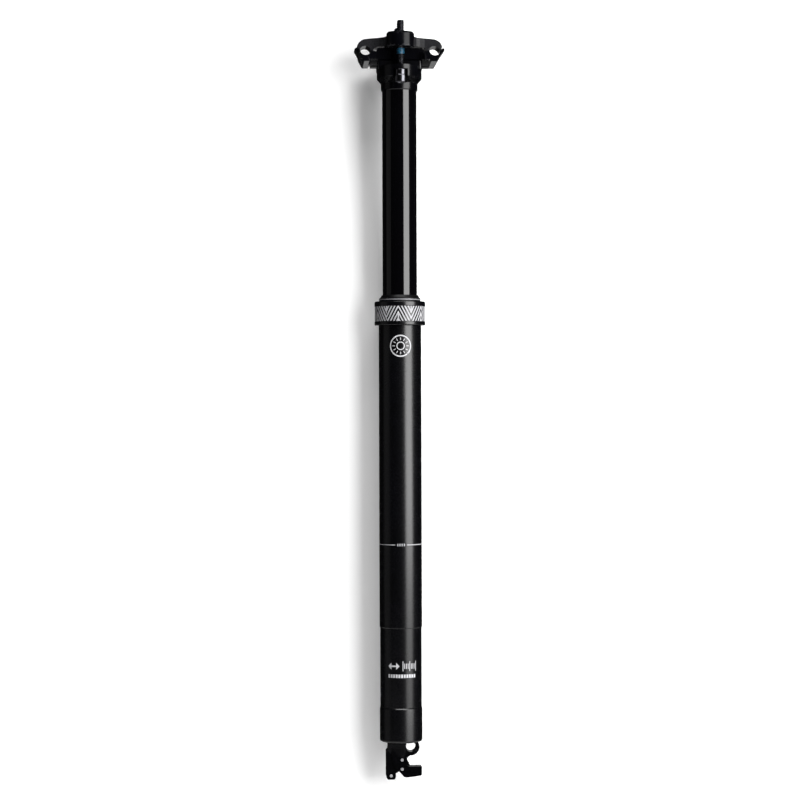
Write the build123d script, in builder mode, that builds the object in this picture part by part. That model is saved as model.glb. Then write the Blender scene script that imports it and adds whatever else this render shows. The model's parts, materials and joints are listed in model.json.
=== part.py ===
"""Telescoping (dropper) bicycle seatpost, cable actuated from below.

Frame: millimetres, +Z up along the tube axis, origin on the axis at the underside of the
collar, where a frame's seat tube would end. +X is to the side, the saddle rails run along Y.
The post is drawn fully extended.
"""

import os

from build123d import *

os.makedirs("parts", exist_ok=True)

# ---- driving dimensions (mm) ----
TRAVEL = 125.0          # stroke of the post

TUBE_R = 13.6           # 27.2 mm seat tube size
TUBE_BORE = 12.0
RELIEF_R = 13.25        # turned-down lower stretch
RELIEF_TOP = -192.9
TUBE_END = -243.9
TUBE_NECK_R = 13.3      # threaded neck inside the collar
TUBE_TOP = 10.0

STANCHION_R = 11.0
STANCHION_BORE = 9.5
STANCHION_TOP = 157.5
STANCHION_END = -55.0
FIT = 0.05              # radial clearance of a sliding fit

COLLAR_R = 16.25
COLLAR_H = 15.1

CYL_R = 8.8             # gas cartridge
CYL_BORE = 7.25
CYL_END = -75.0
CYL_TOP = 150.0
ROD_R = 3.5
ROD_BORE = 1.6
ROD_SHOULDER = -57.0
ROD_TOP = -44.0
PIN_R = 1.5             # release pin inside the rod

CAP_END = -266.2

TILT_Z = 180.0          # rocker axis of the saddle clamp, along X
ROCKER_R = 15.5
BOLT_Y = 16.3
BOLT_R = 2.5
RAIL_X = 22.0
RAIL_Z = 174.3
RAIL_R = 3.6
NUT_R = 4.0

KEY_W = 3.0
KEY_FLAT = 10.4

# actuator, in the X-Z plane
PIVOT = (-6.7, -287.9)
GUIDE = (0.3, -277.7)
ROLLER = (0.45, -283.9)
HOOK = (6.1, -269.6)
HOOK_R = 3.1
HOOK_OUT = 5.4
STOP_X = 9.7            # cable housing stop
STOP_R = 2.1
LINK_R = 0.98           # pin radius

# ================= lower (fixed) group =================

# outer tube: relief at the foot, threaded neck on top, three key grooves in the bore
with BuildPart() as outer_tube:
    with BuildSketch(Plane.XZ):
        with BuildLine():
            Polyline(
                (TUBE_BORE, TUBE_END),
                (RELIEF_R, TUBE_END),
                (RELIEF_R, RELIEF_TOP - 0.35),
                (TUBE_R, RELIEF_TOP),
                (TUBE_R, 0),
                (TUBE_NECK_R, 0),
                (TUBE_NECK_R, TUBE_TOP),
                (TUBE_BORE, TUBE_TOP),
                close=True,
            )
        make_face()
    revolve(axis=Axis.Z)
    with Locations((0, 0, (TUBE_TOP - 192.0) / 2)):
        with PolarLocations(12.0, 3):
            Box(1.6, KEY_W + 0.1, TUBE_TOP + 192.0, mode=Mode.SUBTRACT)
outer_tube.part.label = "outer_tube"
export_step(outer_tube.part, "parts/outer_tube.step")

# collar: screwed on the tube's neck, with a shallow recessed band for the hatch ribs
with BuildPart() as collar:
    with BuildSketch(Plane.XZ):
        with BuildLine():
            Polyline(
                (13.35, 0),
                (15.7, 0),
                (16.1, 0.18),
                (COLLAR_R, 0.6),
                (COLLAR_R, 2.2),
                (15.95, 2.4),
                (15.95, 12.0),
                (COLLAR_R, 12.2),
                (COLLAR_R, 14.4),
                (16.05, 14.9),
                (15.6, COLLAR_H),
                (13.22, COLLAR_H),
                (13.22, 12.0),
                (11.7, 12.0),
                (11.7, 11.0),
                (13.35, 11.0),
                close=True,
            )
        make_face()
    revolve(axis=Axis.Z)
collar.part.label = "collar"
export_step(collar.part, "parts/collar.step")

# seal between the tube's top edge and the collar
with BuildPart() as collar_o_ring:
    with Locations((0, 0, TUBE_TOP + 0.5)):
        Torus(12.75, 0.5)
collar_o_ring.part.label = "collar_o_ring"
export_step(collar_o_ring.part, "parts/collar_o_ring.step")

# wiper: body in the collar, flared lip round the stanchion
with BuildPart() as wiper_seal:
    with BuildSketch(Plane.XZ):
        with BuildLine():
            Polyline(
                (11.6, 12.0),
                (13.2, 12.0),
                (13.2, 16.0),
                (12.3, 16.0),
                (12.3, 16.6),
                (12.95, 16.6),
                (12.9, 17.4),
                (12.2, 18.3),
                (11.75, 19.2),
                (11.5, 20.2),
                (STANCHION_R + 0.06, 20.2),
                (STANCHION_R + 0.06, 18.9),
                (11.6, 18.3),
                close=True,
            )
        make_face()
    revolve(axis=Axis.Z)
wiper_seal.part.label = "wiper_seal"
export_step(wiper_seal.part, "parts/wiper_seal.step")

# bright retaining ring round the wiper
with BuildPart() as wiper_ring:
    with BuildSketch(Plane.XZ):
        with BuildLine():
            Polyline(
                (12.34, 16.0),
                (13.25, 16.0),
                (13.35, 16.1),
                (13.35, 16.5),
                (13.25, 16.6),
                (12.34, 16.6),
                close=True,
            )
        make_face()
    revolve(axis=Axis.Z)
wiper_ring.part.label = "wiper_ring"
export_step(wiper_ring.part, "parts/wiper_ring.step")

# upper slide bushing, flanged on the tube's top edge
with BuildPart() as upper_bushing:
    with BuildSketch(Plane.XZ):
        with BuildLine():
            Polyline(
                (STANCHION_R + FIT, -14.0),
                (TUBE_BORE - 0.03, -14.0),
                (TUBE_BORE - 0.03, TUBE_TOP),
                (12.2, TUBE_TOP),
                (12.2, 11.0),
                (STANCHION_R + FIT, 11.0),
                close=True,
            )
        make_face()
    revolve(axis=Axis.Z)
upper_bushing.part.label = "upper_bushing"
export_step(upper_bushing.part, "parts/upper_bushing.step")

# bottom cap: spigot in the tube, seat for the rod's foot, counterbore for the actuator
with BuildPart() as bottom_cap:
    with BuildSketch(Plane.XZ):
        with BuildLine():
            Polyline(
                (TUBE_R, TUBE_END),
                (TUBE_R, CAP_END + 1.1),
                (13.35, CAP_END + 0.45),
                (12.6, CAP_END),
                (6.65, CAP_END),
                (6.65, CAP_END + 4.0),
                (5.0, CAP_END + 4.0),
                (5.0, CAP_END + 10.0),
                (ROD_R + 0.06, CAP_END + 10.0),
                (ROD_R + 0.06, -246.0),
                (9.5, -246.0),
                (9.5, -232.0),
                (TUBE_BORE - 0.05, -232.0),
                (TUBE_BORE - 0.05, TUBE_END),
                close=True,
            )
        make_face()
    revolve(axis=Axis.Z)
bottom_cap.part.label = "bottom_cap"
export_step(bottom_cap.part, "parts/bottom_cap.step")

# hollow rod of the gas cartridge, with its foot in the cap
with BuildPart() as cartridge_rod:
    with BuildSketch(Plane.XZ):
        with BuildLine():
            Polyline(
                (ROD_BORE, CAP_END + 4.0),
                (4.9, CAP_END + 4.0),
                (4.9, CAP_END + 10.0),
                (ROD_R, CAP_END + 10.0),
                (ROD_R, ROD_SHOULDER),
                (2.5, ROD_SHOULDER),
                (2.5, ROD_TOP),
                (ROD_BORE, ROD_TOP),
                close=True,
            )
        make_face()
    revolve(axis=Axis.Z)
cartridge_rod.part.label = "cartridge_rod"
export_step(cartridge_rod.part, "parts/cartridge_rod.step")

# piston on the rod's top, with four oil ports
with BuildPart() as main_piston:
    with BuildSketch(Plane.XZ):
        with BuildLine():
            Polyline(
                (2.53, ROD_SHOULDER),
                (7.18, ROD_SHOULDER),
                (7.18, -53.5),
                (5.8, -53.5),
                (5.8, -50.5),
                (7.18, -50.5),
                (7.18, -47.0),
                (2.53, -47.0),
                close=True,
            )
        make_face()
    revolve(axis=Axis.Z)
    with Locations((0, 0, -52.0)):
        with PolarLocations(4.75, 4):
            Cylinder(0.5, 20.0, mode=Mode.SUBTRACT)
main_piston.part.label = "main_piston"
export_step(main_piston.part, "parts/main_piston.step")

with BuildPart() as piston_seal:
    with BuildSketch(Plane.XY.offset(-53.5)):
        Circle(7.2)
        Circle(5.82, mode=Mode.SUBTRACT)
    extrude(amount=3.0)
piston_seal.part.label = "piston_seal"
export_step(piston_seal.part, "parts/piston_seal.step")

with BuildPart() as piston_nut:
    with BuildSketch(Plane.XY.offset(-47.0)):
        RegularPolygon(radius=4.1, side_count=6)
        Circle(2.53, mode=Mode.SUBTRACT)
    extrude(amount=3.0)
piston_nut.part.label = "piston_nut"
export_step(piston_nut.part, "parts/piston_nut.step")

# actuator bracket: boss in the cap, two cheeks, foot round the pivot and an open hook
with BuildPart() as actuator_bracket:
    # boss and flange
    with BuildSketch(Plane.XY.offset(CAP_END)):
        Circle(6.6)
    extrude(amount=4.0)
    with BuildSketch(Plane.XY.offset(CAP_END - 1.0)):
        Circle(8.7)
        with Locations((8.0, 0)):
            Rectangle(10.2, 20.0, mode=Mode.SUBTRACT)
    extrude(amount=1.0)
    # cheeks
    with BuildSketch(Plane.XZ):
        with BuildLine():
            Polyline(
                (-8.6, CAP_END - 1.0),
                (2.9, CAP_END - 1.0),
                (2.9, -271.0),
                (3.4, -276.4),
                (3.75, -278.2),
                (4.55, -280.0),
                (5.5, -281.3),
                (2.2, -281.5),
                (-1.2, -282.4),
                (-3.1, -284.4),
                (-3.85, -286.8),
                (-6.7, -287.9),
                (-9.8, -287.6),
                (-9.8, -272.1),
                (-8.8, -271.3),
                close=True,
            )
        make_face()
        with Locations(PIVOT):
            Circle(3.1)
        with Locations((PIVOT[0], -290.9)):
            Rectangle(7.0, 1.2, mode=Mode.SUBTRACT)
    extrude(amount=5.4, both=True)
    # hook for the cable end, open towards the cap
    with BuildSketch(Plane.XZ):
        with Locations(HOOK):
            Circle(HOOK_OUT)
        with BuildLine():
            Polyline(
                (1.5, -271.0), (4.0, -273.5), (6.5, -274.4), (4.6, -275.6), (3.4, -276.9), (1.5, -276.9), close=True
            )
        make_face()
        with Locations(HOOK):
            Circle(HOOK_R, mode=Mode.SUBTRACT)
        with BuildLine():
            Polyline(
                (HOOK[0], HOOK[1]),
                (HOOK[0] + 2.6, HOOK[1] + 3.1),
                (HOOK[0] + 3.4, HOOK[1] + 6.0),
                (HOOK[0] - 8.0, HOOK[1] + 6.0),
                (HOOK[0] - 8.0, HOOK[1]),
                close=True,
            )
        make_face(mode=Mode.SUBTRACT)
        with Locations((HOOK[0], -264.6)):
            Rectangle(20.0, 4.0, mode=Mode.SUBTRACT)
    extrude(amount=4.0, both=True)
    # room for the lever and the plunger between the cheeks
    with BuildSketch(Plane.XZ):
        with BuildLine():
            Polyline(
                (-6.2, -271.8),
                (2.35, -271.8),
                (2.35, -277.9),
                (9.0, -277.9),
                (9.0, -292.0),
                (-12.0, -292.0),
                (-12.0, -282.5),
                (-6.2, -282.5),
                close=True,
            )
        make_face()
    extrude(amount=3.6, both=True, mode=Mode.SUBTRACT)
    # spring pocket and pin bore
    with BuildSketch(Plane.XY.offset(-273.6)):
        Circle(2.65)
    extrude(amount=8.1, mode=Mode.SUBTRACT)
    with BuildSketch(Plane.XY.offset(-266.0)):
        Circle(PIN_R + 0.08)
    extrude(amount=6.0, mode=Mode.SUBTRACT)
    # stepped-back left-hand faces of the cheeks
    with BuildSketch(Plane.XZ.offset(4.7)):
        with BuildLine():
            Polyline(
                (-12.0, -271.3),
                (-6.1, -271.3),
                (-6.1, -277.0),
                (-4.9, -281.6),
                (-3.3, -283.4),
                (-3.3, -292.0),
                (-12.0, -292.0),
                close=True,
            )
        make_face()
    extrude(amount=2.0, mode=Mode.SUBTRACT)
    with BuildSketch(Plane.XZ.offset(-4.7)):
        with BuildLine():
            Polyline(
                (-12.0, -271.3),
                (-6.1, -271.3),
                (-6.1, -277.0),
                (-4.9, -281.6),
                (-3.3, -283.4),
                (-3.3, -292.0),
                (-12.0, -292.0),
                close=True,
            )
        make_face()
    extrude(amount=-2.0, mode=Mode.SUBTRACT)
    # pin holes
    with BuildSketch(Plane.XZ):
        with Locations(PIVOT, GUIDE):
            Circle(LINK_R + 0.02)
    extrude(amount=8.0, both=True, mode=Mode.SUBTRACT)
actuator_bracket.part.label = "actuator_bracket"
export_step(actuator_bracket.part, "parts/actuator_bracket.step")

with BuildPart() as guide_pin:
    with BuildSketch(Plane.XZ):
        with Locations(GUIDE):
            Circle(LINK_R)
    extrude(amount=5.55, both=True)
    chamfer(guide_pin.edges().filter_by(GeomType.CIRCLE), 0.15)
guide_pin.part.label = "guide_pin"
export_step(guide_pin.part, "parts/guide_pin.step")

with BuildPart() as pivot_pin:
    with BuildSketch(Plane.XZ):
        with Locations(PIVOT):
            Circle(LINK_R)
    extrude(amount=4.85, both=True)
    chamfer(pivot_pin.edges().filter_by(GeomType.CIRCLE), 0.15)
pivot_pin.part.label = "pivot_pin"
export_step(pivot_pin.part, "parts/pivot_pin.step")

# return spring of the release pin, in the bracket's pocket
with BuildPart() as valve_spring:
    with BuildLine() as spring_path:
        Helix(pitch=2.05, height=6.15, radius=2.1, center=(0, 0, -272.0))
    with BuildSketch(Plane(origin=spring_path.line @ 0, z_dir=spring_path.line % 0)):
        Circle(0.3)
    sweep(is_frenet=True)
valve_spring.part.label = "valve_spring"
export_step(valve_spring.part, "parts/valve_spring.step")

# ================= lever =================

# lever arm: eye on the pivot, forked round the roller, housing stop at its far end
with BuildPart() as lever_arm:
    with BuildSketch(Plane.XZ):
        with BuildLine():
            Polyline(
                (-7.2, -285.4),
                (-3.4, -282.6),
                (-1.0, -281.6),
                (3.0, -281.7),
                (5.0, -282.1),
                (12.6, -282.1),
                (13.1, -282.6),
                (13.1, -287.2),
                (12.5, -288.1),
                (8.5, -288.75),
                (3.2, -289.25),
                (1.6, -288.9),
                (-1.6, -285.3),
                (-4.4, -287.0),
                (-5.5, -290.0),
                close=True,
            )
        make_face()
        with Locations(PIVOT):
            Circle(2.6)
        with Locations((-5.6, -290.4)):
            Rectangle(6.0, 1.2, mode=Mode.SUBTRACT)
    extrude(amount=3.4, both=True)
    with BuildSketch(Plane.XZ):
        with Locations((0.45, -285.0)):
            Rectangle(9.3, 12.0)
    extrude(amount=2.35, both=True, mode=Mode.SUBTRACT)
    with BuildSketch(Plane.XZ):
        with Locations(PIVOT):
            Circle(LINK_R + FIT)
        with Locations(ROLLER):
            Circle(LINK_R + 0.02)
    extrude(amount=8.0, both=True, mode=Mode.SUBTRACT)
    with BuildSketch(Plane.XY.offset(-290.0)):
        with Locations((STOP_X, 0)):
            Circle(STOP_R)
    extrude(amount=5.8, mode=Mode.SUBTRACT)
    with BuildSketch(Plane.XY.offset(-290.0)):
        with Locations((STOP_X, 0)):
            Circle(0.8)
    extrude(amount=11.0, mode=Mode.SUBTRACT)
lever_arm.part.label = "lever_arm"
export_step(lever_arm.part, "parts/lever_arm.step")

with BuildPart() as lever_roller:
    with BuildSketch(Plane.XZ):
        with Locations(ROLLER):
            Circle(1.65)
            Circle(LINK_R + 0.04, mode=Mode.SUBTRACT)
    extrude(amount=2.25, both=True)
lever_roller.part.label = "lever_roller"
export_step(lever_roller.part, "parts/lever_roller.step")

with BuildPart() as roller_pin:
    with BuildSketch(Plane.XZ):
        with Locations(ROLLER):
            Circle(LINK_R)
    extrude(amount=3.5, both=True)
roller_pin.part.label = "roller_pin"
export_step(roller_pin.part, "parts/roller_pin.step")

# ================= release valve =================

# plunger: slotted for the guide pin, flanged under the spring
with BuildPart() as plunger:
    with BuildSketch(Plane.XY.offset(-282.15)):
        Circle(2.2)
    extrude(amount=282.15 - 273.2)
    with BuildSketch(Plane.XY.offset(-273.2)):
        Circle(2.5)
    extrude(amount=0.8)
    with BuildSketch(Plane.XY.offset(-275.4)):
        Circle(PIN_R + 0.02)
    extrude(amount=5.0, mode=Mode.SUBTRACT)
    with BuildSketch(Plane.XZ):
        with Locations((GUIDE[0], -278.7)):
            Rectangle(2.1, 4.2)
    extrude(amount=6.0, both=True, mode=Mode.SUBTRACT)
plunger.part.label = "plunger"
export_step(plunger.part, "parts/plunger.step")

# release pin through the hollow rod, its head is the valve poppet
with BuildPart() as release_pin:
    with BuildSketch(Plane.XY.offset(-275.4)):
        Circle(PIN_R)
    extrude(amount=275.4 + ROD_TOP)
    with BuildSketch(Plane.XY.offset(ROD_TOP)):
        Circle(2.4)
    extrude(amount=2.0)
release_pin.part.label = "release_pin"
export_step(release_pin.part, "parts/release_pin.step")

# ================= upper (sliding) group =================

# stanchion: groove for the guide bushing, three pockets for the keys
with BuildPart() as stanchion:
    with BuildSketch(Plane.XZ):
        with BuildLine():
            Polyline(
                (STANCHION_BORE, STANCHION_END),
                (STANCHION_R, STANCHION_END),
                (STANCHION_R, -34.0),
                (10.5, -34.0),
                (10.5, -24.0),
                (STANCHION_R, -24.0),
                (STANCHION_R, STANCHION_TOP),
                (STANCHION_BORE, STANCHION_TOP),
                close=True,
            )
        make_face()
    revolve(axis=Axis.Z)
    with Locations((0, 0, -43.0)):
        with PolarLocations(KEY_FLAT + 0.6, 3):
            Box(1.2, KEY_W, 14.0, mode=Mode.SUBTRACT)
stanchion.part.label = "stanchion"
export_step(stanchion.part, "parts/stanchion.step")

with BuildPart() as guide_bushing:
    with BuildSketch(Plane.XY.offset(-34.0)):
        Circle(TUBE_BORE - 0.06)
        Circle(10.52, mode=Mode.SUBTRACT)
        with PolarLocations(11.2, 1, start_angle=60):
            Rectangle(2.4, 0.9, mode=Mode.SUBTRACT)
    extrude(amount=10.0)
guide_bushing.part.label = "guide_bushing"
export_step(guide_bushing.part, "parts/guide_bushing.step")

with BuildPart() as anti_rotation_keys:
    with Locations((0, 0, -43.0)):
        with PolarLocations((KEY_FLAT + 12.7) / 2, 3):
            Box(12.7 - KEY_FLAT, KEY_W - 0.04, 14.0)
anti_rotation_keys.part.label = "anti_rotation_keys"
export_step(anti_rotation_keys.part, "parts/anti_rotation_keys.step")

# nut that holds the cartridge in the stanchion's foot
with BuildPart() as cartridge_nut:
    with BuildSketch(Plane.XZ):
        with BuildLine():
            Polyline(
                (CYL_R + 0.04, -57.0),
                (10.6, -57.0),
                (10.6, STANCHION_END),
                (STANCHION_BORE - 0.04, STANCHION_END),
                (STANCHION_BORE - 0.04, -47.0),
                (CYL_R + 0.04, -47.0),
                close=True,
            )
        make_face()
    revolve(axis=Axis.Z)
cartridge_nut.part.label = "cartridge_nut"
export_step(cartridge_nut.part, "parts/cartridge_nut.step")

with BuildPart() as cartridge_cylinder:
    with BuildSketch(Plane.XZ):
        with BuildLine():
            Polyline(
                (CYL_BORE, CYL_END),
                (CYL_R, CYL_END),
                (CYL_R, -47.0),
                (9.4, -47.0),
                (9.4, -45.0),
                (CYL_R, -45.0),
                (CYL_R, CYL_TOP),
                (CYL_BORE, CYL_TOP),
                close=True,
            )
        make_face()
    revolve(axis=Axis.Z)
cartridge_cylinder.part.label = "cartridge_cylinder"
export_step(cartridge_cylinder.part, "parts/cartridge_cylinder.step")

with BuildPart() as cylinder_gland:
    with BuildSketch(Plane.XZ):
        with BuildLine():
            Polyline(
                (ROD_R + FIT, -77.0),
                (CYL_R, -77.0),
                (CYL_R, CYL_END),
                (CYL_BORE - 0.03, CYL_END),
                (CYL_BORE - 0.03, -62.0),
                (ROD_R + FIT, -62.0),
                (ROD_R + FIT, -68.0),
                (5.6, -68.0),
                (5.6, -71.0),
                (ROD_R + FIT, -71.0),
                close=True,
            )
        make_face()
    revolve(axis=Axis.Z)
cylinder_gland.part.label = "cylinder_gland"
export_step(cylinder_gland.part, "parts/cylinder_gland.step")

with BuildPart() as gland_seal:
    with BuildSketch(Plane.XY.offset(-71.0)):
        Circle(5.57)
        Circle(ROD_R + FIT, mode=Mode.SUBTRACT)
    extrude(amount=3.0)
gland_seal.part.label = "gland_seal"
export_step(gland_seal.part, "parts/gland_seal.step")

# plug in the cylinder's top, with the filling port
with BuildPart() as cylinder_head:
    with BuildSketch(Plane.XZ):
        with BuildLine():
            Polyline(
                (0, 138.0),
                (CYL_BORE - 0.03, 138.0),
                (CYL_BORE - 0.03, CYL_TOP),
                (CYL_R, CYL_TOP),
                (CYL_R, 153.0),
                (2.2, 153.0),
                (2.2, 146.0),
                (0, 146.0),
                close=True,
            )
        make_face()
    revolve(axis=Axis.Z)
cylinder_head.part.label = "cylinder_head"
export_step(cylinder_head.part, "parts/cylinder_head.step")

# head forging: socket on the stanchion, oval block with bolt recesses, rocker seat
with BuildPart() as head_forging:
    with BuildSketch(Plane.XZ):
        with BuildLine():
            Polyline((0, 149.9), (11.35, 149.9), (11.75, 150.4), (11.75, 154.5), (0, 154.5), close=True)
        make_face()
    revolve(axis=Axis.Z)
    with BuildSketch(Plane.XY.offset(154.5)):
        Circle(11.75)
    with BuildSketch(Plane.XY.offset(157.6)):
        Ellipse(14.35, 20.4)
    loft()
    with BuildSketch(Plane.XY.offset(157.6)):
        Ellipse(14.35, 20.4)
    extrude(amount=164.8 - 157.6)
    with BuildSketch(Plane.XY.offset(163.0)):
        RectangleRounded(28.7, 23.2, 2.0)
    extrude(amount=5.0)
    # rocker seat
    with BuildSketch(Plane.YZ):
        with Locations((0, TILT_Z)):
            Circle(ROCKER_R + 0.06)
    extrude(amount=30.0, both=True, mode=Mode.SUBTRACT)
    # bolt recesses, open below and outwards
    with BuildSketch(Plane.XY.offset(152.0)):
        with Locations((0, BOLT_Y), (0, -BOLT_Y)):
            Circle(4.55)
        with Locations((0, BOLT_Y + 5.0), (0, -BOLT_Y - 5.0)):
            Rectangle(9.1, 10.0)
    extrude(amount=10.0, mode=Mode.SUBTRACT)
    with BuildSketch(Plane.XY.offset(160.0)):
        with Locations((0, BOLT_Y), (0, -BOLT_Y)):
            Circle(BOLT_R + 0.25)
    extrude(amount=8.0, mode=Mode.SUBTRACT)
    # socket
    with BuildSketch(Plane.XY.offset(149.0)):
        Circle(STANCHION_R + 0.02)
    extrude(amount=STANCHION_TOP - 149.0, mode=Mode.SUBTRACT)
head_forging.part.label = "head_forging"
export_step(head_forging.part, "parts/head_forging.step")

# spherical washers under the bolt heads
with BuildPart() as bolt_washers:
    with BuildSketch(Plane.XY.offset(158.3)):
        with Locations((0, BOLT_Y), (0, -BOLT_Y)):
            Circle(4.1)
            Circle(BOLT_R + 0.1, mode=Mode.SUBTRACT)
    extrude(amount=3.7)
    chamfer(bolt_washers.edges().filter_by(GeomType.CIRCLE).group_by(Axis.Z)[-1].sort_by(SortBy.RADIUS)[-2:], 0.5)
bolt_washers.part.label = "bolt_washers"
export_step(bolt_washers.part, "parts/bolt_washers.step")

# clamp bolts, heads down, tips standing above the upper clamp
with BuildPart() as clamp_bolts:
    with BuildSketch(Plane.XY.offset(153.4)):
        with Locations((0, BOLT_Y), (0, -BOLT_Y)):
            Circle(4.25)
    extrude(amount=158.3 - 153.4)
    chamfer(clamp_bolts.edges().filter_by(GeomType.CIRCLE).group_by(Axis.Z)[0], 0.5)
    with BuildSketch(Plane.XY.offset(158.3)):
        with Locations((0, BOLT_Y), (0, -BOLT_Y)):
            Circle(BOLT_R)
    extrude(amount=193.0 - 158.3)
    chamfer(clamp_bolts.edges().filter_by(GeomType.CIRCLE).group_by(Axis.Z)[-1], 0.5)
    with BuildSketch(Plane.XY.offset(153.4)):
        with Locations((0, BOLT_Y), (0, -BOLT_Y)):
            RegularPolygon(radius=2.31, side_count=6)
    extrude(amount=2.8, mode=Mode.SUBTRACT)
clamp_bolts.part.label = "clamp_bolts"
export_step(clamp_bolts.part, "parts/clamp_bolts.step")

# ================= floating piston =================

with BuildPart() as floating_piston:
    with BuildSketch(Plane.XZ):
        with BuildLine():
            Polyline(
                (0, 84.0),
                (7.18, 84.0),
                (7.18, 87.5),
                (5.8, 87.5),
                (5.8, 90.5),
                (7.18, 90.5),
                (7.18, 94.0),
                (4.5, 94.0),
                (4.5, 91.5),
                (0, 91.5),
                close=True,
            )
        make_face()
    revolve(axis=Axis.Z)
floating_piston.part.label = "floating_piston"
export_step(floating_piston.part, "parts/floating_piston.step")

with BuildPart() as floating_seal:
    with BuildSketch(Plane.XY.offset(87.5)):
        Circle(7.2)
        Circle(5.82, mode=Mode.SUBTRACT)
    extrude(amount=3.0)
floating_seal.part.label = "floating_seal"
export_step(floating_seal.part, "parts/floating_seal.step")

# ================= saddle clamp =================

# lower cradle: rocker between two wings that carry the rails
with BuildPart() as lower_cradle:
    with BuildSketch(Plane.YZ):
        with BuildLine():
            Line((-11.0, 174.2), (11.0, 174.2))
            Line((11.0, 174.2), (11.0, 169.08))
            ThreePointArc((11.0, 169.08), (0, TILT_Z - ROCKER_R), (-11.0, 169.08))
            Line((-11.0, 169.08), (-11.0, 174.2))
        make_face()
    extrude(amount=18.6, both=True)
    with BuildSketch(Plane.XZ):
        with BuildLine():
            Polyline((-15.4, 174.0), (-14.2, 176.2), (14.2, 176.2), (15.4, 174.0), close=True)
        make_face()
    extrude(amount=11.0, both=True)
    # troughs under the rails, with a keel below and an outer lip
    with BuildSketch(Plane.XZ):
        with BuildLine():
            Polyline(
                (15.5, 172.6),
                (17.4, 173.6),
                (18.2, 173.95),
                (25.2, 173.95),
                (27.3, 176.3),
                (27.8, 176.6),
                (28.4, 176.5),
                (28.8, 176.0),
                (28.75, 175.3),
                (25.7, 171.2),
                (23.5, 167.2),
                (22.9, 166.9),
                (19.8, 166.9),
                (19.3, 167.3),
                (18.8, 168.2),
                (15.5, 168.3),
                close=True,
            )
        make_face()
        mirror(about=Plane.YZ)
    extrude(amount=17.0, both=True)
    # the lip stands up as a horn at mid length and runs out low at both ends
    with BuildSketch(Plane.YZ.offset(24.6)):
        with BuildLine():
            Polyline(
                (4.2, 178.0), (4.9, 175.6), (6.6, 173.6), (9.4, 172.2), (12.5, 171.8), (20.0, 171.5), (20.0, 178.0), close=True
            )
        make_face()
        mirror(about=Plane.XZ)
    extrude(amount=6.0, mode=Mode.SUBTRACT)
    with BuildSketch(Plane.YZ.offset(-24.6)):
        with BuildLine():
            Polyline(
                (4.2, 178.0), (4.9, 175.6), (6.6, 173.6), (9.4, 172.2), (12.5, 171.8), (20.0, 171.5), (20.0, 178.0), close=True
            )
        make_face()
        mirror(about=Plane.XZ)
    extrude(amount=-6.0, mode=Mode.SUBTRACT)
    # in plan the lip is narrower at its ends than at mid length
    for side in (1, -1):
        with BuildSketch(Plane.XY.offset(165.0)):
            for end in (1, -1):
                with BuildLine():
                    Polyline(
                        (side * 29.5, end * 5.0),
                        (side * 27.6, end * 9.0),
                        (side * 26.2, end * 13.5),
                        (side * 25.6, end * 18.0),
                        (side * 31.0, end * 18.0),
                        (side * 31.0, end * 5.0),
                        close=True,
                    )
                make_face()
        extrude(amount=14.0, mode=Mode.SUBTRACT)
    # rail grooves
    with BuildSketch(Plane.XZ):
        with Locations((RAIL_X, RAIL_Z), (-RAIL_X, RAIL_Z)):
            Circle(RAIL_R)
    extrude(amount=20.0, both=True, mode=Mode.SUBTRACT)
lower_cradle.part.label = "lower_cradle"
export_step(lower_cradle.part, "parts/lower_cradle.step")

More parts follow.
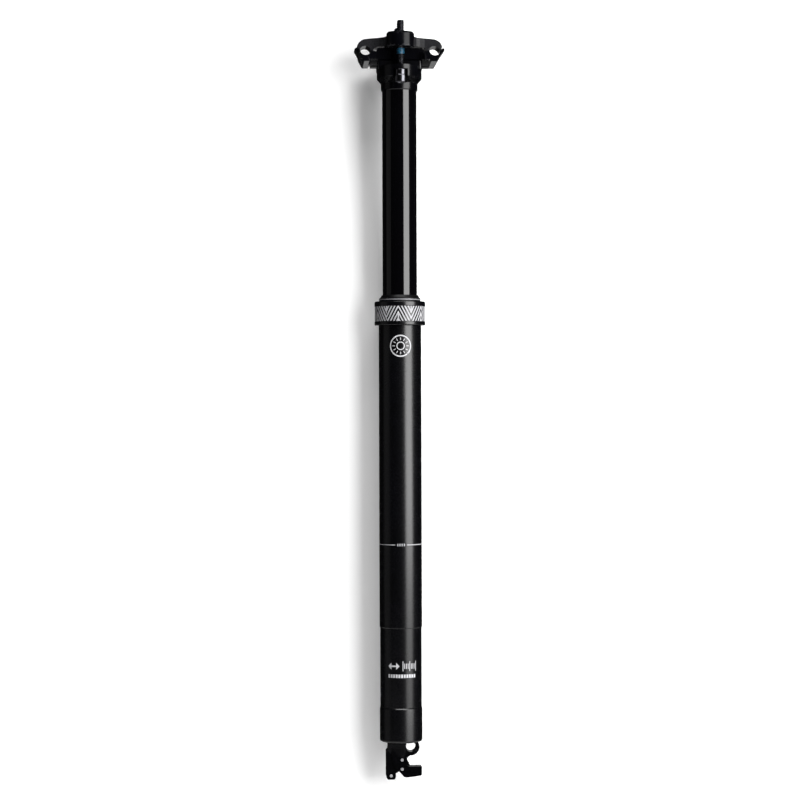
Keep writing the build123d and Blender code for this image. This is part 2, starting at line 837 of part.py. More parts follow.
# upper clamp: drooping wings with hooked ends, a boss over each bolt
with BuildPart() as upper_clamp:
    with BuildSketch(Plane.XZ):
        with BuildLine():
            Polyline(
                (0, 183.3),
                (9.5, 183.2),
                (18.0, 182.7),
                (22.6, 182.2),
                (24.2, 181.5),
                (25.7, 180.4),
                (26.7, 179.1),
                (27.2, 177.8),
                (27.1, 177.0),
                (26.5, 176.1),
                (25.95, 175.4),
                (25.4, 175.2),
                (22.0, 174.65),
                (18.0, 174.65),
                (17.2, 174.9),
                (15.6, 177.0),
                (13.5, 177.5),
                (0, 177.5),
                close=True,
            )
        make_face()
        mirror(about=Plane.YZ)
    extrude(amount=17.0, both=True)
    # plan: short wings over the rails, flaring into the two bolt bosses
    with BuildSketch(Plane.XY.offset(170.0)):
        RectangleRounded(56.0, 15.6, 2.2)
        with BuildLine():
            Polyline(
                (16.5, 7.7), (13.0, 8.3), (10.6, 9.6), (9.2, 11.6), (8.75, 14.2), (8.6, 17.0),
                (-8.6, 17.0), (-8.75, 14.2), (-9.2, 11.6), (-10.6, 9.6), (-13.0, 8.3), (-16.5, 7.7), (-16.5, 0), (16.5, 0),
                close=True,
            )
        make_face()
        mirror(about=Plane.XZ)
    extrude(amount=20.0, mode=Mode.INTERSECT)
    with BuildSketch(Plane.XY.offset(176.2)):
        with Locations((0, 15.8), (0, -15.8)):
            Ellipse(8.8, 6.8)
    extrude(amount=8.1)
    with BuildSketch(Plane.XY.offset(184.3)):
        with Locations((0, 15.8), (0, -15.8)):
            Ellipse(8.8, 6.8)
    extrude(amount=1.2, taper=35)
    with BuildSketch(Plane.XY.offset(180.0)):
        RectangleRounded(12.0, 24.0, 2.0)
    extrude(amount=4.4)
    # pockets for the barrel nuts, loaded from below
    with BuildSketch(Plane.YZ):
        with Locations((BOLT_Y, TILT_Z), (-BOLT_Y, TILT_Z)):
            Circle(NUT_R + 0.06)
        with Locations((BOLT_Y, TILT_Z - 5.0), (-BOLT_Y, TILT_Z - 5.0)):
            Rectangle(2 * (NUT_R + 0.06), 10.0)
    extrude(amount=5.2, both=True, mode=Mode.SUBTRACT)
    with BuildSketch(Plane.XY.offset(178.0)):
        with Locations((0, BOLT_Y), (0, -BOLT_Y)):
            Circle(3.75)
    extrude(amount=10.0, mode=Mode.SUBTRACT)
    # in plan the lip is narrower at its ends than at mid length
    for side in (1, -1):
        with BuildSketch(Plane.XY.offset(165.0)):
            for end in (1, -1):
                with BuildLine():
                    Polyline(
                        (side * 29.5, end * 5.0),
                        (side * 27.6, end * 9.0),
                        (side * 26.2, end * 13.5),
                        (side * 25.6, end * 18.0),
                        (side * 31.0, end * 18.0),
                        (side * 31.0, end * 5.0),
                        close=True,
                    )
                make_face()
        extrude(amount=14.0, mode=Mode.SUBTRACT)
    # rail grooves
    with BuildSketch(Plane.XZ):
        with Locations((RAIL_X, RAIL_Z), (-RAIL_X, RAIL_Z)):
            Circle(RAIL_R)
    extrude(amount=20.0, both=True, mode=Mode.SUBTRACT)
upper_clamp.part.label = "upper_clamp"
export_step(upper_clamp.part, "parts/upper_clamp.step")

# barrel nuts: cross-drilled barrels that stay upright as the clamp tilts
with BuildPart() as front_barrel_nut:
    with BuildSketch(Plane.YZ):
        with Locations((-BOLT_Y, TILT_Z)):
            Circle(NUT_R)
    extrude(amount=5.1, both=True)
    with BuildSketch(Plane.XY.offset(170.0)):
        with Locations((0, -BOLT_Y)):
            Circle(BOLT_R + 0.22)
    extrude(amount=20.0, mode=Mode.SUBTRACT)
front_barrel_nut.part.label = "front_barrel_nut"
export_step(front_barrel_nut.part, "parts/front_barrel_nut.step")

with BuildPart() as rear_barrel_nut:
    with BuildSketch(Plane.YZ):
        with Locations((BOLT_Y, TILT_Z)):
            Circle(NUT_R)
    extrude(amount=5.1, both=True)
    with BuildSketch(Plane.XY.offset(170.0)):
        with Locations((0, BOLT_Y)):
            Circle(BOLT_R + 0.22)
    extrude(amount=20.0, mode=Mode.SUBTRACT)
rear_barrel_nut.part.label = "rear_barrel_nut"
export_step(rear_barrel_nut.part, "parts/rear_barrel_nut.step")
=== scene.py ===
"""Looks of the telescoping seatpost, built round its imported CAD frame. Metres."""

import json
import math

import bpy
import numpy as np
from mathutils import Matrix, Vector


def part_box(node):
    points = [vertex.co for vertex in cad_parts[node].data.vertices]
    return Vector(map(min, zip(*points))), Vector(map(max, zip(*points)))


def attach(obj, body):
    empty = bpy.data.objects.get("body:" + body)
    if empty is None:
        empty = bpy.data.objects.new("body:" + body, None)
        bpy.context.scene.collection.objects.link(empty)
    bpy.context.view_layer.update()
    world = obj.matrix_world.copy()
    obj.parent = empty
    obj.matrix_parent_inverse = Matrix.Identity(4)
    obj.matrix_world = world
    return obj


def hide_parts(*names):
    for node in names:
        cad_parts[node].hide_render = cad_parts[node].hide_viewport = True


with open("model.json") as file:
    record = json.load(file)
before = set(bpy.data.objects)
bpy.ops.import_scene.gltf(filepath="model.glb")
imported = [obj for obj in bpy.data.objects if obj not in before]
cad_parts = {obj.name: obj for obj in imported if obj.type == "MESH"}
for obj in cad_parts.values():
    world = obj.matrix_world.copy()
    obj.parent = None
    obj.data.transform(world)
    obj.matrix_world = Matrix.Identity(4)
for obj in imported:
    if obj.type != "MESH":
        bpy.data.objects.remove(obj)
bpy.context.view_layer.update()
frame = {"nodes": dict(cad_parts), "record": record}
NODES = frame["nodes"]
SC = bpy.context.scene
MM = 0.001
rng = np.random.default_rng(7)


# ------------------------------------------------------------------ materials
def nodes_of(mat):
    mat.use_nodes = True
    nt = mat.node_tree
    nt.nodes.clear()
    out = nt.nodes.new("ShaderNodeOutputMaterial")
    bs = nt.nodes.new("ShaderNodeBsdfPrincipled")
    nt.links.new(bs.outputs[0], out.inputs[0])
    return nt, bs


def ramp(nt, src, stops):
    r = nt.nodes.new("ShaderNodeValToRGB")
    cr = r.color_ramp
    while len(cr.elements) < len(stops):
        cr.elements.new(0.5)
    for e, (p, c) in zip(cr.elements, stops):
        e.position = p
        e.color = (c[0], c[1], c[2], 1.0) if isinstance(c, (tuple, list)) else (c, c, c, 1.0)
    nt.links.new(src, r.inputs[0])
    return r.outputs[0]


def noise(nt, coord, scale, detail=3.0, rough=0.5, stretch=None):
    n = nt.nodes.new("ShaderNodeTexNoise")
    n.inputs["Scale"].default_value = scale
    n.inputs["Detail"].default_value = detail
    n.inputs["Roughness"].default_value = rough
    if stretch:
        m = nt.nodes.new("ShaderNodeMapping")
        m.inputs["Scale"].default_value = stretch
        nt.links.new(coord, m.inputs[0])
        coord = m.outputs[0]
    nt.links.new(coord, n.inputs["Vector"])
    return n.outputs["Fac"]


def finish_mat(name, base, dark, light, rough, spread, metallic=0.0, ior=1.5, grain=3000.0,
               grain_depth=0.00001, stretch=None, wear=0.0, coat=0.0, coat_rough=0.1, spec=0.5, patch=70.0):
    """A machined or coated surface: colour that drifts a little, uneven roughness, fine grain in the bump,
    and slightly rubbed convex edges."""
    mat = bpy.data.materials.new(name)
    nt, bs = nodes_of(mat)
    tc = nt.nodes.new("ShaderNodeTexCoord").outputs["Object"]
    big = noise(nt, tc, patch, 4.0, 0.6, stretch)
    fine = noise(nt, tc, grain, 2.0, 0.6, stretch)
    col = ramp(nt, big, [(0.3, tuple(b * dark for b in base)), (0.7, tuple(b * light for b in base))])
    if wear > 0:
        geo = nt.nodes.new("ShaderNodeNewGeometry")
        edge = ramp(nt, geo.outputs["Pointiness"], [(0.58, 0.0), (0.70, 1.0)])
        br = noise(nt, tc, 900.0, 3.0, 0.7)
        mul = nt.nodes.new("ShaderNodeMath"); mul.operation = "MULTIPLY"
        nt.links.new(edge, mul.inputs[0]); nt.links.new(br, mul.inputs[1])
        mul2 = nt.nodes.new("ShaderNodeMath"); mul2.operation = "MULTIPLY"
        mul2.inputs[1].default_value = wear
        nt.links.new(mul.outputs[0], mul2.inputs[0])
        mix = nt.nodes.new("ShaderNodeMix"); mix.data_type = "RGBA"
        mix.inputs[7].default_value = (0.22, 0.22, 0.235, 1.0)
        nt.links.new(mul2.outputs[0], mix.inputs[0])
        nt.links.new(col, mix.inputs[6])
        col = mix.outputs[2]
    nt.links.new(col, bs.inputs["Base Color"])
    mr = nt.nodes.new("ShaderNodeMapRange")
    mr.inputs["To Min"].default_value = rough - spread
    mr.inputs["To Max"].default_value = rough + spread
    mixn = nt.nodes.new("ShaderNodeMath"); mixn.operation = "ADD"
    half = nt.nodes.new("ShaderNodeMath"); half.operation = "MULTIPLY"; half.inputs[1].default_value = 0.5
    half2 = nt.nodes.new("ShaderNodeMath"); half2.operation = "MULTIPLY"; half2.inputs[1].default_value = 0.5
    nt.links.new(big, half.inputs[0]); nt.links.new(fine, half2.inputs[0])
    nt.links.new(half.outputs[0], mixn.inputs[0]); nt.links.new(half2.outputs[0], mixn.inputs[1])
    nt.links.new(mixn.outputs[0], mr.inputs["Value"])
    nt.links.new(mr.outputs[0], bs.inputs["Roughness"])
    bp = nt.nodes.new("ShaderNodeBump")
    bp.inputs["Distance"].default_value = grain_depth
    bp.inputs["Strength"].default_value = 0.35
    nt.links.new(fine, bp.inputs["Height"])
    nt.links.new(bp.outputs[0], bs.inputs["Normal"])
    bs.inputs["Metallic"].default_value = metallic
    bs.inputs["IOR"].default_value = ior
    bs.inputs["Coat Weight"].default_value = coat
    bs.inputs["Coat Roughness"].default_value = coat_rough
    bs.inputs["Specular IOR Level"].default_value = spec
    return mat


M = {
    "tube_black": finish_mat("tube_black", (0.0009, 0.0009, 0.0015), 0.7, 1.3, 0.27, 0.03, grain=5200.0, grain_depth=0.000005),
    "stanchion_black": finish_mat("stanchion_black", (0.0009, 0.0008, 0.0012), 0.8, 1.2, 0.075, 0.012, grain=2500.0, grain_depth=0.000002, stretch=(1, 1, 0.05)),
    "collar_black": finish_mat("collar_black", (0.0012, 0.0012, 0.0018), 0.7, 1.4, 0.24, 0.04, grain=4000.0, wear=0.12),
    "head_black": finish_mat("head_black", (0.0012, 0.0012, 0.0019), 0.6, 1.5, 0.21, 0.04, grain=2600.0, grain_depth=0.000005, wear=0.12, spec=0.26),
    "clamp_black": finish_mat("clamp_black", (0.0012, 0.0012, 0.0019), 0.6, 1.5, 0.20, 0.04, grain=2600.0, grain_depth=0.000005, wear=0.14, spec=0.13),
    "actuator_black": finish_mat("actuator_black", (0.0010, 0.0010, 0.0014), 0.6, 1.5, 0.20, 0.05, grain=3200.0, grain_depth=0.000004, wear=0.16, spec=0.22),
    "rubber_black": finish_mat("rubber_black", (0.0014, 0.0014, 0.0018), 0.7, 1.2, 0.42, 0.06, grain=3600.0, grain_depth=0.00003, spec=0.22),
    "bright_ring": finish_mat("bright_ring", (0.34, 0.34, 0.36), 0.85, 1.05, 0.45, 0.05, metallic=0.25, grain=3000.0, stretch=(1, 1, 12)),
    "hatch_silver": finish_mat("hatch_silver", (0.47, 0.47, 0.49), 0.85, 1.08, 0.50, 0.06, metallic=0.0, grain=4500.0, spec=0.25),
    "bushing_grey": finish_mat("bushing_grey", (0.10, 0.10, 0.11), 0.8, 1.1, 0.40, 0.05),
    "steel": finish_mat("steel", (0.55, 0.55, 0.57), 0.8, 1.08, 0.36, 0.05, metallic=0.6, grain=3500.0),
    "inner_aluminium": finish_mat("inner_aluminium", (0.56, 0.56, 0.58), 0.8, 1.1, 0.32, 0.05, metallic=1.0, stretch=(1, 1, 14)),
    "brass": finish_mat("brass", (0.72, 0.50, 0.20), 0.8, 1.1, 0.30, 0.06, metallic=1.0),
    "bolt_steel": finish_mat("bolt_steel", (0.10, 0.10, 0.11), 0.6, 1.3, 0.22, 0.06, metallic=1.0, grain=3000.0, wear=0.15),
    "threadlock_blue": finish_mat("threadlock_blue", (0.003, 0.050, 0.095), 0.4, 1.7, 0.40, 0.10, grain=1800.0, grain_depth=0.00012, patch=600.0),
    "print_grey": finish_mat("print_grey", (0.55, 0.55, 0.57), 0.85, 1.1, 0.50, 0.05, grain=5000.0),
}

SLOT_OF = {s["node"]: s["material_slot"] for s in frame["record"]["subparts"]}


def paint(o, slot):
    o.data.materials.clear()
    o.data.materials.append(M[slot])


for name, o in NODES.items():
    paint(o, "bolt_steel" if name == "bolt_washers" else SLOT_OF[name])


# ------------------------------------------------------------------ mesh helpers
def new_piece(name, verts, faces, body, slot, sharp=30.0, replaces=None):
    me = bpy.data.meshes.new(name)
    me.from_pydata([tuple(v) for v in verts], [], faces)
    me.validate()
    for p in me.polygons:
        p.use_smooth = True
    me.set_sharp_from_angle(angle=math.radians(sharp))
    o = bpy.data.objects.new(name, me)
    SC.collection.objects.link(o)
    me.materials.append(M[slot])
    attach(o, body)
    if replaces:
        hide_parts(replaces)
    return o


def ring_grid(rows, seg, centre=(0.0, 0.0), closed=False, cap_first=False, cap_last=False):
    """rows of (z, r or function of angle), in mm, turned into a closed grid."""
    th = np.arange(seg) * 2 * math.pi / seg
    verts, faces = [], []
    for z, r in rows:
        rr = r(th) if callable(r) else np.full(seg, float(r))
        for a, q in zip(th, rr):
            verts.append(((centre[0] + q * math.cos(a)) * MM, (centre[1] + q * math.sin(a)) * MM, z * MM))
    n = len(rows)
    for i in range(n if closed else n - 1):
        j = (i + 1) % n
        for k in range(seg):
            m = (k + 1) % seg
            faces.append((i * seg + k, i * seg + m, j * seg + m, j * seg + k))
    if cap_first:
        verts.append((centre[0] * MM, centre[1] * MM, rows[0][0] * MM))
        c = len(verts) - 1
        for k in range(seg):
            faces.append((c, (k + 1) % seg, k))
    if cap_last:
        verts.append((centre[0] * MM, centre[1] * MM, rows[-1][0] * MM))
        c = len(verts) - 1
        base = (n - 1) * seg
        for k in range(seg):
            faces.append((c, base + k, base + (k + 1) % seg))
    return verts, faces


def rounded(points, radius=0.2, steps=4, closed=True):
    """Rounds the corners of a closed (r, z) profile, in mm. A point may carry its own radius as a third value."""
    out = []
    n = len(points)
    for i, p in enumerate(points):
        rad = p[2] if len(p) > 2 else radius
        p0 = np.array(points[i - 1][:2]); p1 = np.array(p[:2]); p2 = np.array(points[(i + 1) % n][:2])
        d0, d2 = p0 - p1, p2 - p1
        l0, l2 = np.linalg.norm(d0), np.linalg.norm(d2)
        t = min(rad, 0.45 * l0, 0.45 * l2)
        if t < 1e-4:
            out.append(tuple(p1)); continue
        a, b = p1 + d0 / l0 * t, p1 + d2 / l2 * t
        for s in np.linspace(0, 1, steps + 1):
            q = (1 - s) ** 2 * a + 2 * s * (1 - s) * p1 + s * s * b
            out.append(tuple(q))
    return out


def lathe(name, profile, body, slot, seg=160, radius=0.2, replaces=None, sharp=30.0, steps=4):
    """Closed profile of (r, z) points, counter-clockwise seen with r to the right and z up."""
    pts = rounded(profile, radius, steps)
    area = sum(pts[i - 1][0] * pts[i][1] - pts[i][0] * pts[i - 1][1] for i in range(len(pts)))
    if area < 0:
        pts = pts[::-1]
    v, f = ring_grid([(z, r) for r, z in pts], seg, closed=True)
    return new_piece(name, v, f, body, slot, sharp, replaces)


def top(node):
    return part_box(node)[1].z / MM


def foot(node):
    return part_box(node)[0].z / MM


def half(node):
    lo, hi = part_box(node)
    return (hi.x - lo.x) / 2 / MM


# ------------------------------------------------------------------ turned pieces
TUBE_R = half("outer_tube")
T0, T1 = foot("outer_tube"), top("outer_tube")
RELIEF = T0 + 51.0
lathe("tube_shell", [
    (12.0, T0), (13.25, T0, 0.12), (13.25, RELIEF - 0.3, 0.1), (TUBE_R, RELIEF, 0.12), (TUBE_R, 0.0, 0.15),
    (13.3, 0.0, 0.02), (13.3, T1, 0.2), (12.0, T1, 0.2)], "lower", "tube_black", seg=224, replaces="outer_tube")

C0, C1, CR = foot("collar"), top("collar"), half("collar")
lathe("collar_shell", [
    (13.35, C0, 0.05), (16.0, C0, 0.15), (CR, C0 + 0.25, 0.2), (CR, C0 + 2.2, 0.1), (15.92, C0 + 2.4, 0.08),
    (15.92, C0 + 12.0, 0.08), (CR, C0 + 12.2, 0.1), (CR, C1 - 0.35, 0.25), (15.9, C1, 0.2), (13.22, C1, 0.15),
    (13.22, C1 - 3.1, 0.02), (11.7, C1 - 3.1, 0.02), (11.7, C1 - 4.1, 0.02), (13.35, C1 - 4.1, 0.02)],
    "lower", "collar_black", seg=224, replaces="collar")

W1 = top("wiper_seal")
lathe("wiper_lip", [
    (11.6, W1 - 8.2), (13.2, W1 - 8.2), (13.2, W1 - 4.2, 0.2), (12.3, W1 - 4.2, 0.02), (12.3, W1 - 3.6, 0.02),
    (13.18, W1 - 3.6, 0.12), (13.15, W1 - 2.85, 0.25), (12.35, W1 - 2.35, 0.35), (12.0, W1 - 1.5, 0.4), (11.6, W1 - 0.95, 0.12),
    (11.06, W1 - 0.95, 0.08), (11.06, W1 - 1.6, 0.1), (11.6, W1 - 2.2, 0.1)], "lower", "rubber_black", seg=192, replaces="wiper_seal")
R0, R1, RR = W1 - 4.2, W1 - 3.6, half("wiper_ring")
lathe("wiper_band", [(12.34, R0), (RR, R0, 0.18), (RR, R1, 0.18), (12.34, R1)], "lower", "bright_ring", seg=192,
      replaces="wiper_ring", steps=5)

B0 = foot("bottom_cap")
lathe("cap_shell", [
    (TUBE_R, T0 - 0.75, 0.2), (13.05, T0, 0.1), (11.95, T0, 0.02), (11.95, T0 + 12.8, 0.2), (9.5, T0 + 12.8, 0.2), (9.5, T0 - 1.2, 0.2),
    (3.56, T0 - 1.2, 0.1), (3.56, B0 + 10, 0.05), (5.0, B0 + 10, 0.05), (5.0, B0 + 4, 0.02), (6.65, B0 + 4, 0.02),
    (6.65, B0, 0.15), (12.5, B0, 0.6), (13.35, B0 + 0.5, 0.5), (TUBE_R, B0 + 1.3, 0.5)],
    "lower", "tube_black", seg=224, replaces="bottom_cap")

S0, S1 = foot("stanchion"), top("stanchion")
SR = 11.0
lathe("stanchion_shell", [
    (9.5, S0, 0.1), (SR, S0, 0.3), (SR, -34.0, 0.02), (10.5, -34.0, 0.02), (10.5, -24.0, 0.02), (SR, -24.0, 0.02),
    (SR, S1, 0.2), (9.5, S1, 0.1)], "upper", "stanchion_black", seg=256, replaces="stanchion")


# ------------------------------------------------------------------ hatch ribs on the collar
def clip_strip(quad, x0, x1, z0, z1):
    """Cuts a convex polygon to a rectangle."""
    poly = [np.array(p, float) for p in quad]
    for axis, lim, keep_less in ((0, x0, False), (0, x1, True), (1, z0, False), (1, z1, True)):
        out = []
        for i in range(len(poly)):
            p, q = poly[i - 1], poly[i]
            pin = p[axis] <= lim if keep_less else p[axis] >= lim
            qin = q[axis] <= lim if keep_less else q[axis] >= lim
            if pin != qin:
                t = (lim - p[axis]) / (q[axis] - p[axis])
                out.append(p + (q - p) * t)
            if qin:
                out.append(q)
        poly = out
        if len(poly) < 3:
            return None
    return poly


def wrap_polys(name, polys, r_in, r_out, body, slot, du=0.5, phase=0.0):
    """Convex polygons in (arc length, z), mm, cut into narrow columns, wrapped and thickened."""
    import bmesh
    bm = bmesh.new()
    for poly in polys:
        p = [np.array(q, float) for q in poly]
        lo = min(q[0] for q in p); hi = max(q[0] for q in p)
        k0 = math.floor(lo / du)
        for k in range(k0, math.ceil(hi / du)):
            c = clip_strip(p, k * du, (k + 1) * du, -1e6, 1e6)
            if not c or len(c) < 3:
                continue
            clean = [c[0]]
            for q in c[1:]:
                if np.linalg.norm(q - clean[-1]) > 1e-4:
                    clean.append(q)
            if np.linalg.norm(clean[0] - clean[-1]) < 1e-4:
                clean.pop()
            if len(clean) < 3:
                continue
            ar = sum(clean[i - 1][0] * clean[i][1] - clean[i][0] * clean[i - 1][1] for i in range(len(clean)))
            if abs(ar) < 1e-4:
                continue
            if ar < 0:
                clean = clean[::-1]
            vs = []
            for r in (r_out, r_in):
                vs.append([bm.verts.new((r * math.cos(q[0] / r_out - math.pi / 2 + phase) * MM,
                                         r * math.sin(q[0] / r_out - math.pi / 2 + phase) * MM, q[1] * MM)) for q in clean])
            n = len(clean)
            bm.faces.new(vs[0])
            bm.faces.new(vs[1][::-1])
            for i in range(n):
                j = (i + 1) % n
                u0, u1 = clean[i][0], clean[j][0]
                inner = abs(u0 - u1) < 1e-6 and (abs(u0 / du - round(u0 / du)) < 1e-5) and lo + 1e-5 < u0 < hi - 1e-5
                if not inner:
                    bm.faces.new((vs[0][i], vs[1][i], vs[1][j], vs[0][j]))
    bmesh.ops.remove_doubles(bm, verts=bm.verts, dist=0.5e-6)
    bmesh.ops.recalc_face_normals(bm, faces=bm.faces)
    me = bpy.data.meshes.new(name)
    bm.to_mesh(me); bm.free()
    me.validate()
    for p in me.polygons:
        p.use_smooth = True
    me.set_sharp_from_angle(angle=math.radians(30))
    o = bpy.data.objects.new(name, me)
    SC.collection.objects.link(o)
    me.materials.append(M[slot])
    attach(o, body)
    return o


# twelve 30 degree segments of slanting ribs, leaning one way then the other, with a short tick under each peak
# and over each valley
BR = 16.14
SEG = 2 * math.pi * BR / 12
Z0, Z1 = C0 + 2.45, C0 + 11.95
H = Z1 - Z0
LEAN = math.tan(math.radians(28.3))
PITCH = SEG / 4.0
RIB = PITCH * 0.45
ribs = []
for s in range(12):
    u0 = s * SEG
    up = s % 2 == 0          # even segments rise to the right: peaks stand at their right edge
    peak = u0 + SEG if up else u0
    sign = 1.0 if up else -1.0
    for k in range(-1, 9):
        c1 = peak - sign * (k - 2) * PITCH              # centre at the top edge
        c0 = c1 - sign * LEAN * H
        q = [(c0 - RIB / 2, Z0), (c0 + RIB / 2, Z0), (c1 + RIB / 2, Z1), (c1 - RIB / 2, Z1)]
        c = clip_strip(q, u0, u0 + SEG, Z0, Z1)
        if c:
            ribs.append(c)
    edge = u0 + SEG
    zt = (Z0, Z0 + 4.3) if up else (Z1 - 3.3, Z1)
    ribs.append([np.array(p, float) for p in ((edge - 0.38, zt[0]), (edge + 0.38, zt[0]), (edge + 0.38, zt[1]), (edge - 0.38, zt[1]))])
wrap_polys("collar_ribs", ribs, 15.90, BR - 0.09, "lower", "hatch_silver", du=0.42, phase=math.radians(-36.8))


# ------------------------------------------------------------------ printed marks on the tube
def arc_band(cx, cz, r0, r1, a0, a1, n=24):
    out = []
    for i in range(n):
        s, t = a0 + (a1 - a0) * i / n, a0 + (a1 - a0) * (i + 1) / n
        out.append([(cx + r0 * math.cos(s), cz + r0 * math.sin(s)), (cx + r1 * math.cos(s), cz + r1 * math.sin(s)),
                    (cx + r1 * math.cos(t), cz + r1 * math.sin(t)), (cx + r0 * math.cos(t), cz + r0 * math.sin(t))])
    return out


def bar(x0, z0, x1, z1, w):
    d = np.array([x1 - x0, z1 - z0], float); d /= np.linalg.norm(d)
    n = np.array([-d[1], d[0]]) * w / 2
    a, b = np.array([x0, z0]), np.array([x1, z1])
    return [a - n, b - n, b + n, a + n]


def rect(x0, z0, x1, z1):
    return [(x0, z0), (x1, z0), (x1, z1), (x0, z1)]


# a plain round dial mark near the collar
DIAL = (-0.3, -13.4)
dial = arc_band(*DIAL, 6.2, 7.0, 0, 2 * math.pi, 64) + arc_band(*DIAL, 2.1, 2.7, 0, 2 * math.pi, 36)
for k in range(12):
    a = k * math.pi / 6
    dial.append(bar(DIAL[0] + 3.7 * math.cos(a), DIAL[1] + 3.7 * math.sin(a),
                    DIAL[0] + 5.3 * math.cos(a), DIAL[1] + 5.3 * math.sin(a), 0.5))
wrap_polys("dial_mark", dial, TUBE_R - 0.05, TUBE_R + 0.012, "lower", "print_grey", du=0.8)

# insertion limit line, broken at the front by a few short ticks
LIM = -139.9
span = 2 * math.pi * TUBE_R
line = [rect(3.45, LIM - 0.22, span / 2, LIM + 0.22), rect(-span / 2, LIM - 0.22, -4.25, LIM + 0.22)]
for k in range(4):
    line.append(rect(-2.75 + k * 1.4, LIM - 0.8, -2.2 + k * 1.4, LIM + 0.8))
wrap_polys("limit_line", line, TUBE_R - 0.05, TUBE_R + 0.012, "lower", "print_grey", du=0.8)

# adjustment mark on the relief: a double arrow beside a scale, over a row of blocks
ADJ_R = 13.25
ADJ = -217.0
adj = [rect(-7.2, ADJ - 0.45, -3.6, ADJ + 0.45),
       [(-9.2, ADJ), (-7.0, ADJ + 2.2), (-7.0, ADJ - 2.2)][::-1],
       [(-1.6, ADJ), (-3.8, ADJ - 2.2), (-3.8, ADJ + 2.2)][::-1]]
for k in range(9):
    h = 3.1 if k % 4 == 0 else 1.7
    adj.append(rect(0.4 + k * 1.12, ADJ - h, 0.4 + k * 1.12 + 0.42, ADJ + h))
for k in range(11):
    adj.append(rect(-9.2 + k * 1.72, ADJ - 7.4, -9.2 + k * 1.72 + 1.2, ADJ - 5.2))
wrap_polys("adjust_mark", adj, ADJ_R - 0.05, ADJ_R + 0.012, "lower", "print_grey", du=0.8)


# ------------------------------------------------------------------ bolts
def tri(x):
    return 1 - np.abs((x % 1.0) * 2 - 1)


def bolt(name, y, body):
    z0, z1 = foot("clamp_bolts"), top("clamp_bolts")
    hex_r = lambda th: 2.0 / np.cos(((th + math.pi / 6) % (math.pi / 3)) - math.pi / 6)
    knurl = lambda rr: (lambda th: rr - 0.05 + 0.05 * np.cos(th * 32))
    rows = [(z0 + 2.8, lambda th: hex_r(th) * 0.985), (z0 + 2.8, hex_r), (z0 + 0.35, hex_r), (z0, lambda th: hex_r(th) + 0.3),
            (z0, 3.55), (z0 + 0.06, 3.72), (z0 + 0.25, 3.98), (z0 + 0.55, knurl(4.2)), (z0 + 4.45, knurl(4.24)), (z0 + 4.75, 4.12),
            (z0 + 4.9, 4.0), (z0 + 4.9, 2.6), (z0 + 5.1, 2.45), (z0 + 8.0, 2.45)]
    pitch, rmaj, rmin = 1.0, 2.5, 1.95
    step = pitch / 10
    zs = np.arange(z0 + 8.2, z1 - 0.25, step)
    for z in zs:
        run = min(1.0, (z - zs[0]) / 0.6)
        end = min(1.0, (z1 - 0.1 - z) / 0.7)
        rows.append((z, (lambda zz, run, end: (lambda th: (2.45 * (1 - run) + run * (rmin + (rmaj - rmin) * np.clip(1.25 * tri(zz / pitch - th / (2 * math.pi)) - 0.1, 0, 1))) - 0.35 * (1 - end)))(z, run, end)))
    rows += [(z1 - 0.12, 1.85), (z1, 1.6)]
    v, f = ring_grid(rows, 96, centre=(0.0, y), cap_first=True, cap_last=True)
    return new_piece(name, v, f, body, "bolt_steel", sharp=40.0)


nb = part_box("clamp_bolts")
BOLT_Y = ((nb[1].y - nb[0].y) / MM - 8.5) / 2
front_bolt = bolt("front_bolt", -BOLT_Y, "upper")
rear_bolt = bolt("rear_bolt", BOLT_Y, "upper")
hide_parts("clamp_bolts")


def patch(name, y, z0, z1):
    """Dried thread-locking compound: a ragged skin over the thread's crests."""
    pitch = 1.0
    amp = rng.uniform(0, 2 * math.pi, 6)
    rows = [(z0, 2.0)]
    for z in np.arange(z0, z1, 0.09):
        edge = min(1.0, (z - z0) / 0.5, (z1 - z) / 0.5)
        def rr(th, z=z, edge=edge):
            t = tri(z / pitch - th / (2 * math.pi))
            lump = 0.05 * np.sin(3 * th + amp[0] + z * 2.1) + 0.04 * np.sin(5 * th + amp[1] - z * 3.3) + 0.03 * np.sin(9 * th + amp[2] + z * 5)
            return 2.02 + edge * (0.42 + lump + 0.17 * (t - 0.5))
        rows.append((z, rr))
    rows.append((z1, 2.0))
    v, f = ring_grid(rows, 72, centre=(0.0, y), cap_first=True, cap_last=True)
    return new_piece(name, v, f, "upper", "threadlock_blue", sharp=60.0)


patch("front_patch", -BOLT_Y, 171.2, 175.4)
patch("rear_patch", BOLT_Y, 171.2, 174.8)


# ------------------------------------------------------------------ forged and milled CAD pieces: softened edges
def soften(node, width, segments=3, angle=28.0):
    o = NODES[node]
    w = o.modifiers.new("weld", "WELD"); w.merge_threshold = 2e-6
    b = o.modifiers.new("bevel", "BEVEL")
    b.width = width * MM
    b.segments = segments
    b.limit_method = "ANGLE"
    b.angle_limit = math.radians(angle)
    b.use_clamp_overlap = True
    b.harden_normals = False
    n = o.modifiers.new("normals", "WEIGHTED_NORMAL")
    n.keep_sharp = True
    n.weight = 100


for node, width in (("head_forging", 0.6), ("upper_clamp", 0.55), ("lower_cradle", 0.5), ("actuator_bracket", 0.22),
                    ("lever_arm", 0.25), ("bolt_washers", 0.12)):
    soften(node, width)


# ------------------------------------------------------------------ stage
def plane(name, corners, mat):
    me = bpy.data.meshes.new(name)
    me.from_pydata(corners, [], [(0, 1, 2, 3)])
    o = bpy.data.objects.new(name, me)
    SC.collection.objects.link(o)
    me.materials.append(mat)
    return o


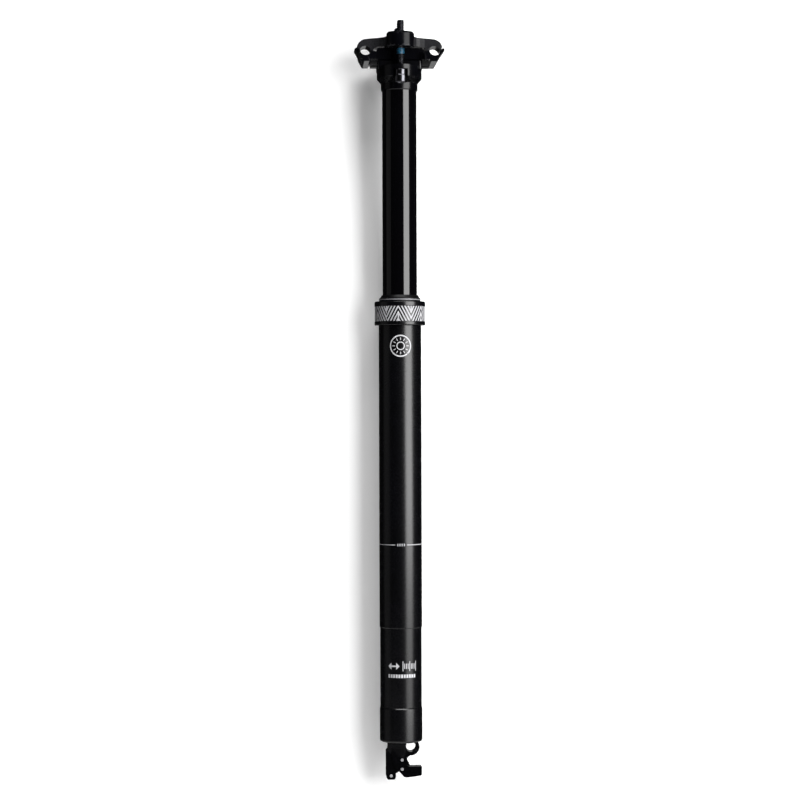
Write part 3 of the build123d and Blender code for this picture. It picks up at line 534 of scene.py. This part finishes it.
def floor_mat(name="pale_floor", lift=0.0):
    mat = bpy.data.materials.new(name)
    nt, bs = nodes_of(mat)
    tc = nt.nodes.new("ShaderNodeTexCoord").outputs["Object"]
    n = noise(nt, tc, 6.0, 2.0, 0.5)
    nt.links.new(ramp(nt, n, [(0.3, (0.93, 0.93, 0.93)), (0.7, (0.95, 0.95, 0.95))]), bs.inputs["Base Color"])
    bs.inputs["Roughness"].default_value = 0.9
    bs.inputs["Specular IOR Level"].default_value = 0.1
    bs.inputs["Emission Color"].default_value = (1.0, 1.0, 1.0, 1.0)
    bs.inputs["Emission Strength"].default_value = lift
    # seen from behind, the sheet lets the object show
    geo = nt.nodes.new("ShaderNodeNewGeometry")
    tr = nt.nodes.new("ShaderNodeBsdfTransparent")
    mx = nt.nodes.new("ShaderNodeMixShader")
    out = next(x for x in nt.nodes if x.type == "OUTPUT_MATERIAL")
    nt.links.new(geo.outputs["Backfacing"], mx.inputs[0])
    nt.links.new(bs.outputs[0], mx.inputs[1])
    nt.links.new(tr.outputs[0], mx.inputs[2])
    nt.links.new(mx.outputs[0], out.inputs[0])
    return mat


FM = floor_mat()
# the sheet hangs just behind the tube and leans back past the head
ZB = [(-1.0, 0.0172), (0.016, 0.0172), (0.168, 0.0245), (1.0, 0.0245)]
sm = bpy.data.meshes.new("sheet")
sm.from_pydata([(x, y, z) for z, y in ZB for x in (-1.3, 1.3)], [], [(2 * i, 2 * i + 1, 2 * i + 3, 2 * i + 2) for i in range(3)])
for p in sm.polygons:
    p.use_smooth = True
sheet = bpy.data.objects.new("sheet", sm)
SC.collection.objects.link(sheet)
sm.materials.append(floor_mat("pale_sheet", 0.15))
sheet.visible_glossy = False
sheet.visible_diffuse = False
plane("floor", [(-0.6, -0.6, -0.55), (0.6, -0.6, -0.55), (0.6, 0.6, -0.55), (-0.6, 0.6, -0.55)], FM)

# a bright card well behind, seen only in the gloss of faces that look away from the front
cm = bpy.data.materials.new("card_glow")
cm.use_nodes = True
cn = cm.node_tree
cn.nodes.clear()
c_out = cn.nodes.new("ShaderNodeOutputMaterial")
c_em = cn.nodes.new("ShaderNodeEmission")
c_em.inputs["Color"].default_value = (1.0, 1.0, 1.0, 1.0)
c_em.inputs["Strength"].default_value = 0.5
cn.links.new(c_em.outputs[0], c_out.inputs[0])
card = plane("card", [(-0.03, 0.9, -0.52), (0.20, 0.9, -0.52), (0.20, 0.9, 0.42), (-0.03, 0.9, 0.42)], cm)
card.visible_camera = False
card.visible_diffuse = False
card.visible_shadow = False
card.visible_transmission = False

world = bpy.data.worlds.new("studio")
SC.world = world
world.use_nodes = True
wn = world.node_tree
wn.nodes.clear()
wo = wn.nodes.new("ShaderNodeOutputWorld")
b1 = wn.nodes.new("ShaderNodeBackground"); b1.inputs[0].default_value = (0.95, 0.95, 0.96, 1); b1.inputs[1].default_value = 0.014
b2 = wn.nodes.new("ShaderNodeBackground"); b2.inputs[0].default_value = (1, 1, 1, 1); b2.inputs[1].default_value = 1.0
lp = wn.nodes.new("ShaderNodeLightPath")
mx = wn.nodes.new("ShaderNodeMixShader")
wn.links.new(lp.outputs["Is Camera Ray"], mx.inputs[0])
wn.links.new(b1.outputs[0], mx.inputs[1])
wn.links.new(b2.outputs[0], mx.inputs[2])
wn.links.new(mx.outputs[0], wo.inputs[0])


def softbox(name, az, dist, w, h, power, z=-0.05, el=0.0):
    """A soft light. az is measured from the camera's side, positive to the right."""
    li = bpy.data.lights.new(name, "AREA")
    li.shape = "RECTANGLE"
    li.size, li.size_y = w, h
    li.energy = power
    o = bpy.data.objects.new(name, li)
    SC.collection.objects.link(o)
    a = math.radians(az)
    e = math.radians(el)
    d = Vector((math.sin(a) * math.cos(e), -math.cos(a) * math.cos(e), math.sin(e)))
    o.location = Vector((0, 0, z)) + d * dist
    o.rotation_mode = "QUATERNION"
    o.rotation_quaternion = d.to_track_quat("Z", "Y")
    return o


AZ = -3.0
# the key is a tall stack, dimmer towards its foot
softbox("key_high", AZ + 47.0, 1.0, 0.71, 0.78, 14.2, z=0.29)
softbox("key_mid", AZ + 49.0, 1.0, 0.70, 0.16, 3.0, z=-0.18)
softbox("key_low", AZ + 49.5, 1.0, 0.66, 0.34, 1.9, z=-0.43)
softbox("fill_left", AZ - 80.0, 1.3, 0.9, 1.4, 0.6)
softbox("top", AZ + 8.0, 1.9, 1.6, 0.6, 30.0, el=62.0)

# ------------------------------------------------------------------ camera
SC.view_settings.view_transform = "Standard"
SC.view_settings.look = "None"
cam = bpy.data.cameras.new("camera")
cam.sensor_width = 36.0
cam.lens = 103.5
cam.dof.use_dof = False
cam.clip_start, cam.clip_end = 0.05, 20.0
co = bpy.data.objects.new("camera", cam)
SC.collection.objects.link(co)
DIST = 1.474
a = math.radians(AZ)
back = Vector((math.sin(a), -math.cos(a), 0.0))
right = Vector((math.cos(a), math.sin(a), 0.0))
aim = Vector((0, 0, -0.0478)) - right * 0.00009
co.location = aim + back * DIST
q = (-back).to_track_quat("-Z", "Y")
roll = math.radians(-0.18)
co.rotation_mode = "QUATERNION"
co.rotation_quaternion = q @ Matrix.Rotation(roll, 4, "Z").to_quaternion()
SC.camera = co
